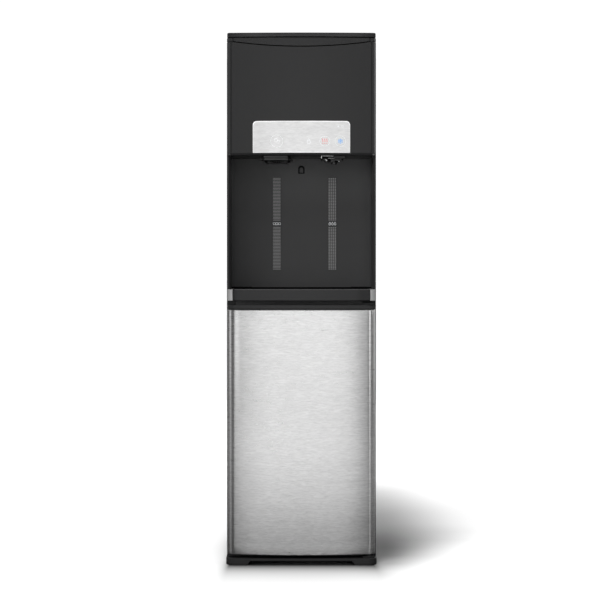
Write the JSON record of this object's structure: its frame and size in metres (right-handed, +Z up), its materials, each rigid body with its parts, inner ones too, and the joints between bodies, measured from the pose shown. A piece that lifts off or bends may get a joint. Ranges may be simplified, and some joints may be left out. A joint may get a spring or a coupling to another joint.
{
  "type": "bottom load water cooler",
  "caption": "Free-standing bottom load water cooler with a brushed steel door, a dispensing alcove with ice chute and water nozzle, push keys and a lifting lid.",
  "frame": {"origin": "middle of the footprint on the floor", "axes": "+Z up, -Y towards the front, +X towards the hinge side"},
  "size_m": [0.3144, 0.4, 1.107],
  "materials": {
    "black_plastic": "moulded, fine satin grain",
    "satin_black": "moulded, satin",
    "dark_plastic": "moulded, matt",
    "painted_sheet": "powder coated sheet steel",
    "brushed_steel": "brushed across",
    "control_foil": "fine brushed, bright",
    "rubber": "matt",
    "gloss_black": "piano gloss",
    "white_plastic": "moulded, food safe",
    "red_plastic": "gloss",
    "blue_plastic": "gloss",
    "zinc_sheet": "zinc plated",
    "tank": "satin",
    "foam_jacket": "insulating jacket",
    "black_wire": "black enamel",
    "circuit_board": "solder resist",
    "strip_print": "satin grey",
    "hose": "translucent silicone"
  },
  "bodies": {
    "cabinet": {"base_plinth": "black_plastic", "bottle_floor": "black_plastic", "tray_shelf": "black_plastic", "alcove_liner": "black_plastic", "ice_chute": "black_plastic", "top_cap": "black_plastic", "switch_bezel": "black_plastic", "front_fascia": "satin_black", "night_light_lens": "dark_plastic", "water_pump": "dark_plastic", "auger_motor": "dark_plastic", "fan_shroud": "dark_plastic", "left_side_panel": "painted_sheet", "right_side_panel": "painted_sheet", "rear_panel": "painted_sheet", "compressor": "painted_sheet", "tray_trim_left": "brushed_steel", "tray_trim_right": "brushed_steel", "control_plate": "control_foil", "foot_front_left": "rubber", "foot_front_right": "rubber", "foot_rear_left": "rubber", "foot_rear_right": "rubber", "cord_gland": "rubber", "nozzle_housing": "gloss_black", "water_nozzle": "gloss_black", "bottle_probe": "white_plastic", "ice_bin": "white_plastic", "probe_cap": "blue_plastic", "mid_deck": "zinc_sheet", "hinge_bracket_top": "zinc_sheet", "hinge_bracket_bottom": "zinc_sheet", "probe_hanger": "zinc_sheet", "hot_tank": "tank", "evaporator": "tank", "cold_tank": "foam_jacket", "condenser_coil": "black_wire", "control_board": "circuit_board", "ice_strip": "strip_print", "water_strip": "strip_print", "suction_hose": "hose"},
    "door": {"door_skin": "brushed_steel", "door_liner": "black_plastic", "door_top_cap": "black_plastic", "door_bottom_cap": "black_plastic", "door_gasket": "rubber"},
    "lid": {"top_lid": "satin_black", "lid_lip": "satin_black"},
    "drip_tray": {"drip_tray": "black_plastic"},
    "drip_grille": {"drip_grille": "dark_plastic"},
    "ice_key": {"ice_key": "control_foil"},
    "hot_key": {"hot_key": "control_foil"},
    "cold_key": {"cold_key": "control_foil"},
    "auger": {"ice_auger": "tank"},
    "fan": {"fan_rotor": "black_plastic"},
    "chute_flap": {"chute_flap": "dark_plastic"},
    "mould_tray": {"ice_mould_tray": "hose"},
    "hot_switch": {"hot_switch": "red_plastic"},
    "cold_switch": {"cold_switch": "blue_plastic"},
    "drain_cap": {"drain_cap": "white_plastic"}
  },
  "joints": [
    {"name": "door_hinge", "type": "hinge", "parent": "cabinet", "child": "door", "pos_m": [0.141, -0.18, 0.02], "axis": [0, 0, 1], "range_deg": [0, 110]},
    {"name": "lid_hinge", "type": "hinge", "parent": "cabinet", "child": "lid", "pos_m": [0, 0.1684, 1.0925], "axis": [-1, 0, 0], "range_deg": [0, 75]},
    {"name": "drip_tray_slide", "type": "slide", "parent": "cabinet", "child": "drip_tray", "axis": [0, -1, 0], "range_m": [0, 0.12]},
    {"name": "drip_grille_lift", "type": "slide", "parent": "drip_tray", "child": "drip_grille", "axis": [0, 0, 1], "range_m": [0, 0.05]},
    {"name": "ice_key_press", "type": "slide", "parent": "cabinet", "child": "ice_key", "axis": [0, 1, 0], "range_m": [0, 0.001], "stiffness_N_per_m": 600},
    {"name": "hot_key_press", "type": "slide", "parent": "cabinet", "child": "hot_key", "axis": [0, 1, 0], "range_m": [0, 0.001], "stiffness_N_per_m": 600},
    {"name": "cold_key_press", "type": "slide", "parent": "cabinet", "child": "cold_key", "axis": [0, 1, 0], "range_m": [0, 0.001], "stiffness_N_per_m": 600},
    {"name": "auger_spin", "type": "hinge", "parent": "cabinet", "child": "auger", "pos_m": [-0.051, 0, 0.926], "axis": [0, 1, 0], "continuous": true},
    {"name": "fan_spin", "type": "hinge", "parent": "cabinet", "child": "fan", "pos_m": [0.072, 0.15, 0.962], "axis": [0, 1, 0], "continuous": true},
    {"name": "chute_flap_hinge", "type": "hinge", "parent": "cabinet", "child": "chute_flap", "pos_m": [-0.051, -0.1112, 0.8414], "axis": [1, 0, 0], "range_deg": [0, 70], "stiffness_Nm_per_rad": 0.01, "springref_deg": -28.65},
    {"name": "mould_tray_tilt", "type": "hinge", "parent": "cabinet", "child": "mould_tray", "pos_m": [-0.072, -0.029, 1.021], "axis": [1, 0, 0], "range_deg": [0, 75]},
    {"name": "hot_switch_rock", "type": "hinge", "parent": "cabinet", "child": "hot_switch", "pos_m": [-0.0948, 0.1671, 0.826], "axis": [1, 0, 0], "range_deg": [-12, 0]},
    {"name": "cold_switch_rock", "type": "hinge", "parent": "cabinet", "child": "cold_switch", "pos_m": [-0.0652, 0.1671, 0.826], "axis": [1, 0, 0], "range_deg": [-12, 0]},
    {"name": "drain_cap_turn", "type": "hinge", "parent": "cabinet", "child": "drain_cap", "pos_m": [-0.06, 0.17, 0.072], "axis": [0, 1, 0], "continuous": true}
  ]
}
